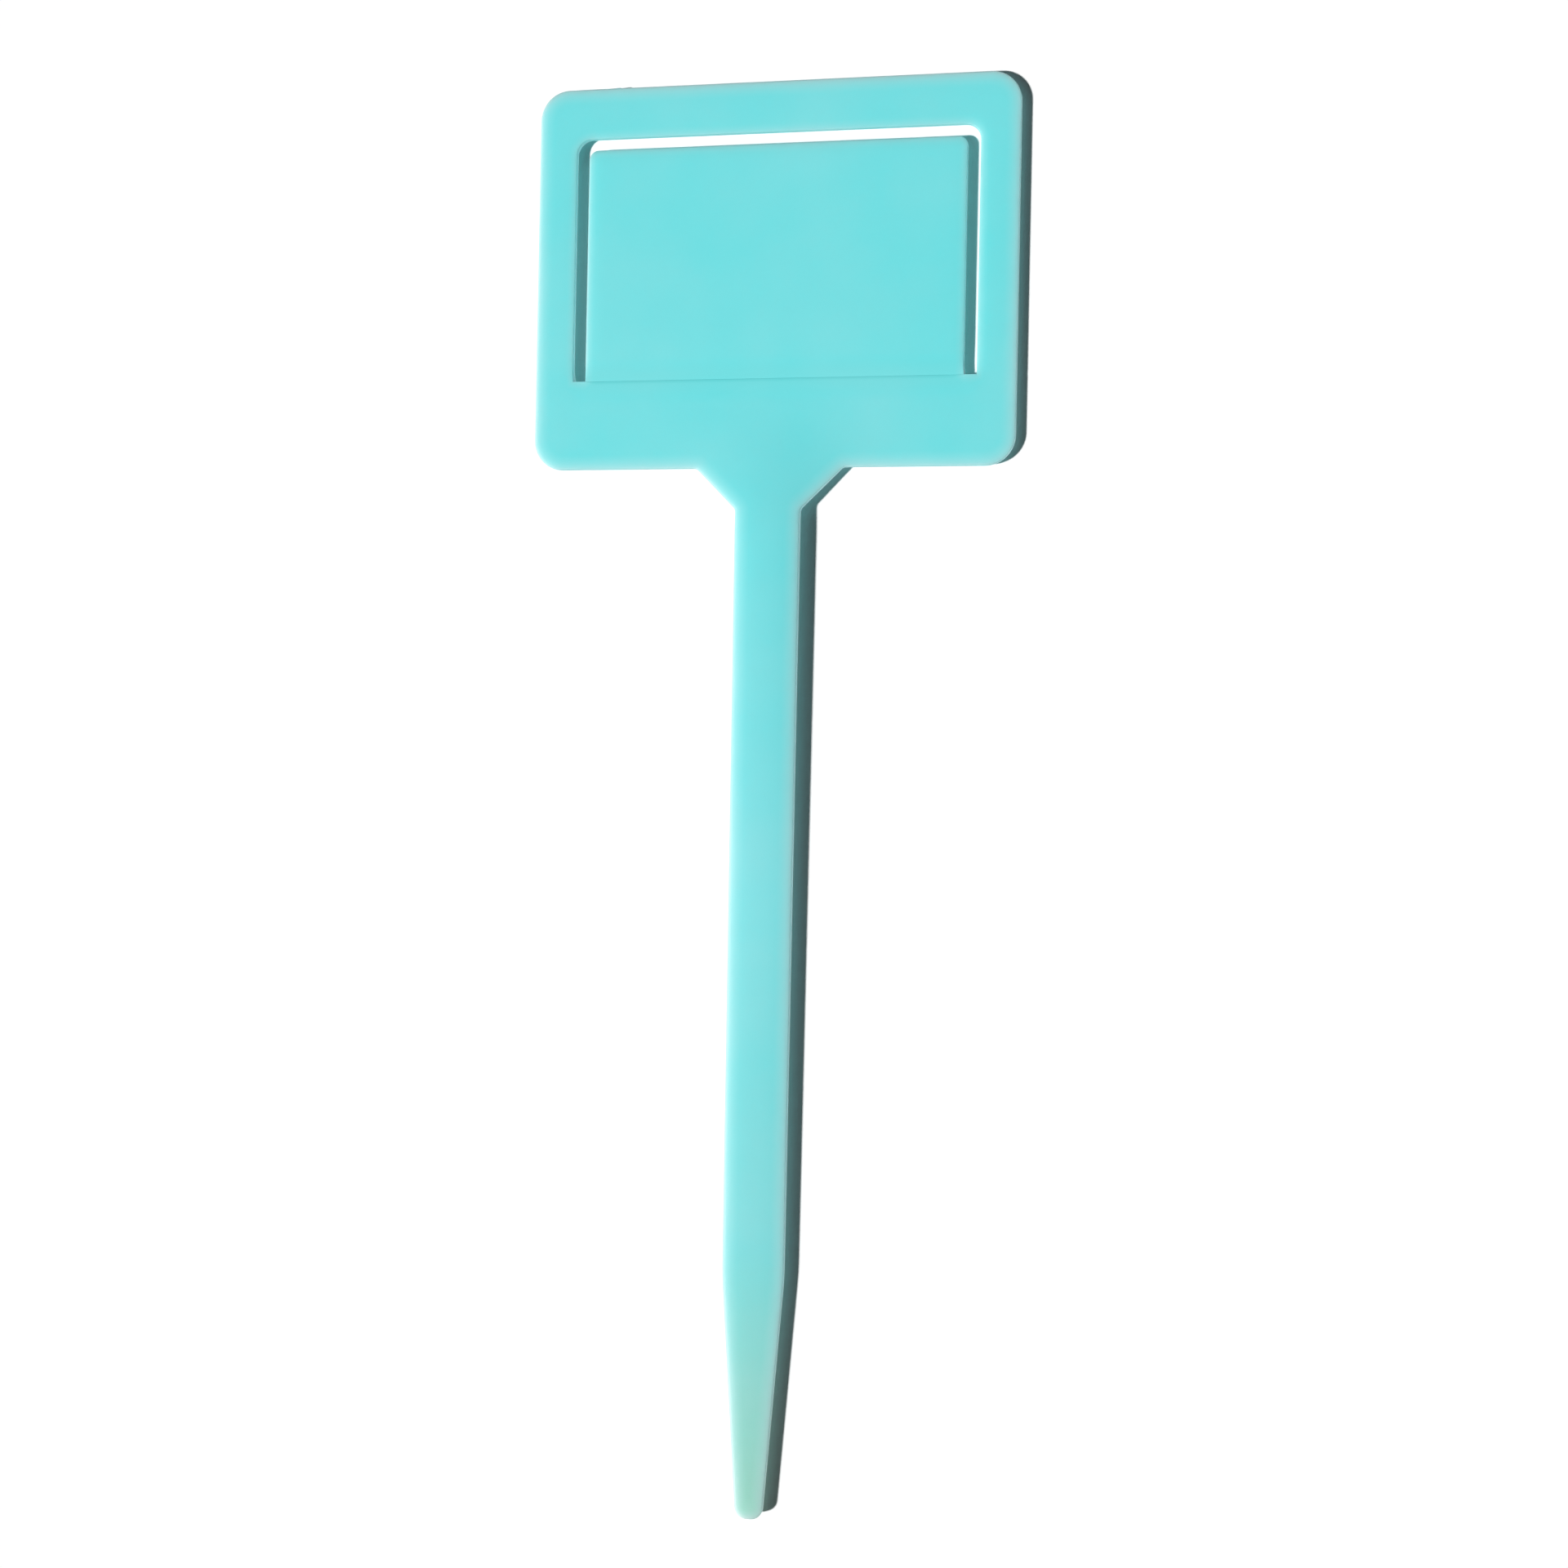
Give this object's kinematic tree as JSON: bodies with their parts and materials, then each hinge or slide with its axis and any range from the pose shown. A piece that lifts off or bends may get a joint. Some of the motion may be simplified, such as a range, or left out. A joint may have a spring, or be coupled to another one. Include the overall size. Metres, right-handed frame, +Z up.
{
  "type": "plant label stake",
  "caption": "Flat moulded plastic plant label stake: framed rectangular head with a springy label tongue, gusseted neck, long stem and a round-ended tapered point.",
  "frame": {"origin": "on the stem's centre line at the soil line, in the plane of the flat back, 60 mm above the tip", "axes": "+Z up along the stem to the head, +Y out of the flat back, so the front faces -Y, +X to the right of someone facing the front"},
  "size_m": [0.0636, 0.0027, 0.1858],
  "materials": {
    "polypropylene": "satin, slightly translucent aqua polypropylene, as moulded"
  },
  "bodies": {
    "stake": {"head_frame": "polypropylene", "tongue_hinge": "polypropylene", "neck": "polypropylene", "stem": "polypropylene", "point": "polypropylene"},
    "tongue": {"label_tongue": "polypropylene"}
  },
  "joints": [
    {"name": "tongue_flex", "type": "hinge", "parent": "stake", "child": "tongue", "pos_m": [0, -0.00082, 0.091], "axis": [1, 0, 0], "range_deg": [0, 16], "stiffness_Nm_per_rad": 3.05, "deforming": ["tongue_hinge"]}
  ]
}
